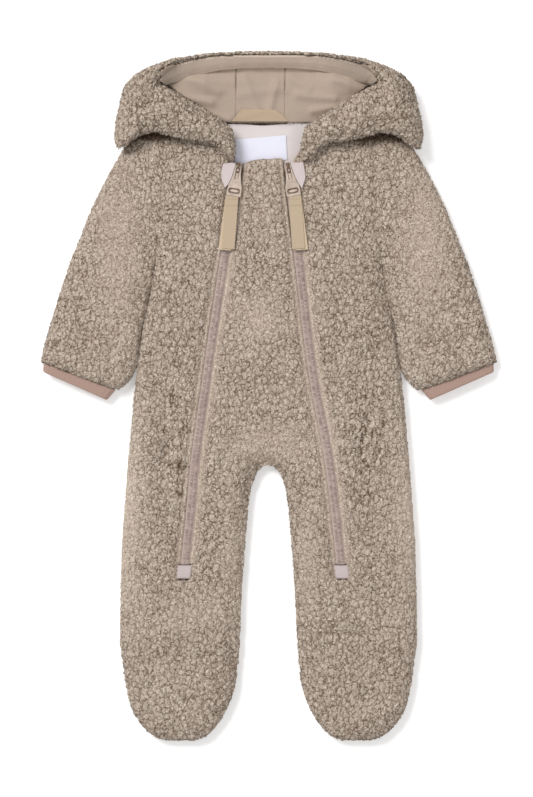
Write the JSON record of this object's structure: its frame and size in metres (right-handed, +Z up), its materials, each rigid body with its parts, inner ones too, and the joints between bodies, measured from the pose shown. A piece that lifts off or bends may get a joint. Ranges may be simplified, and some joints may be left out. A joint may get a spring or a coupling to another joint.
{
  "type": "hooded footed baby overall",
  "caption": "Hooded, footed baby overall in curly teddy fleece, laid flat on its back, with zips down the front, a lined hood lying open, bound cuffs and lifting zip pulls.",
  "frame": {"origin": "on the floor, below the middle of the garment's outline", "axes": "+X to the right as seen from above with the hood at the top, +Y towards the hood, +Z up from the floor"},
  "size_m": [0.455, 0.69, 0.038],
  "materials": {
    "fleece": "curly teddy fleece, matt",
    "lining": "fine knit lining, matt",
    "facing": "smooth woven band",
    "binding": "ribbed elastic binding",
    "zip_tape": "zip tape with its closed chain",
    "pale_trim": "pale smooth knit",
    "neck_facing": "pale woven facing",
    "webbing": "woven tan webbing",
    "loop": "tan twill tape",
    "label": "white satin, blank",
    "puller": "moulded, slightly soft",
    "slider": "enamelled, satin"
  },
  "bodies": {
    "garment": {"back": "fleece", "front_center": "fleece", "hood_left": "fleece", "hood_center": "fleece", "hood_right": "fleece", "hood_lining_left": "lining", "hood_lining_center": "lining", "hood_lining_right": "lining", "hood_facing": "facing", "neck_facing": "neck_facing", "label": "label", "hanger_loop": "loop", "front_side_left": "fleece", "sleeve_left": "fleece", "vamp_left": "fleece", "sole_left": "fleece", "cuff_binding_left": "binding", "zip_left": "zip_tape", "zip_guard_left": "pale_trim", "zip_end_left": "pale_trim", "slider_left": "slider", "front_side_right": "fleece", "sleeve_right": "fleece", "vamp_right": "fleece", "sole_right": "fleece", "cuff_binding_right": "binding", "zip_right": "zip_tape", "zip_guard_right": "pale_trim", "zip_end_right": "pale_trim", "slider_right": "slider"},
    "pull_left": {"puller_left": "puller", "strap_left": "webbing"},
    "pull_right": {"puller_right": "puller", "strap_right": "webbing"}
  },
  "joints": [
    {"name": "pull_left_lift", "type": "hinge", "parent": "garment", "child": "pull_left", "pos_m": [-0.03016, 0.228, 0.0195], "axis": [-0.986, 0.1668, 0], "range_deg": [0, 150]},
    {"name": "pull_right_lift", "type": "hinge", "parent": "garment", "child": "pull_right", "pos_m": [0.01958, 0.228, 0.0195], "axis": [-0.9803, -0.1977, 0], "range_deg": [0, 150]}
  ]
}
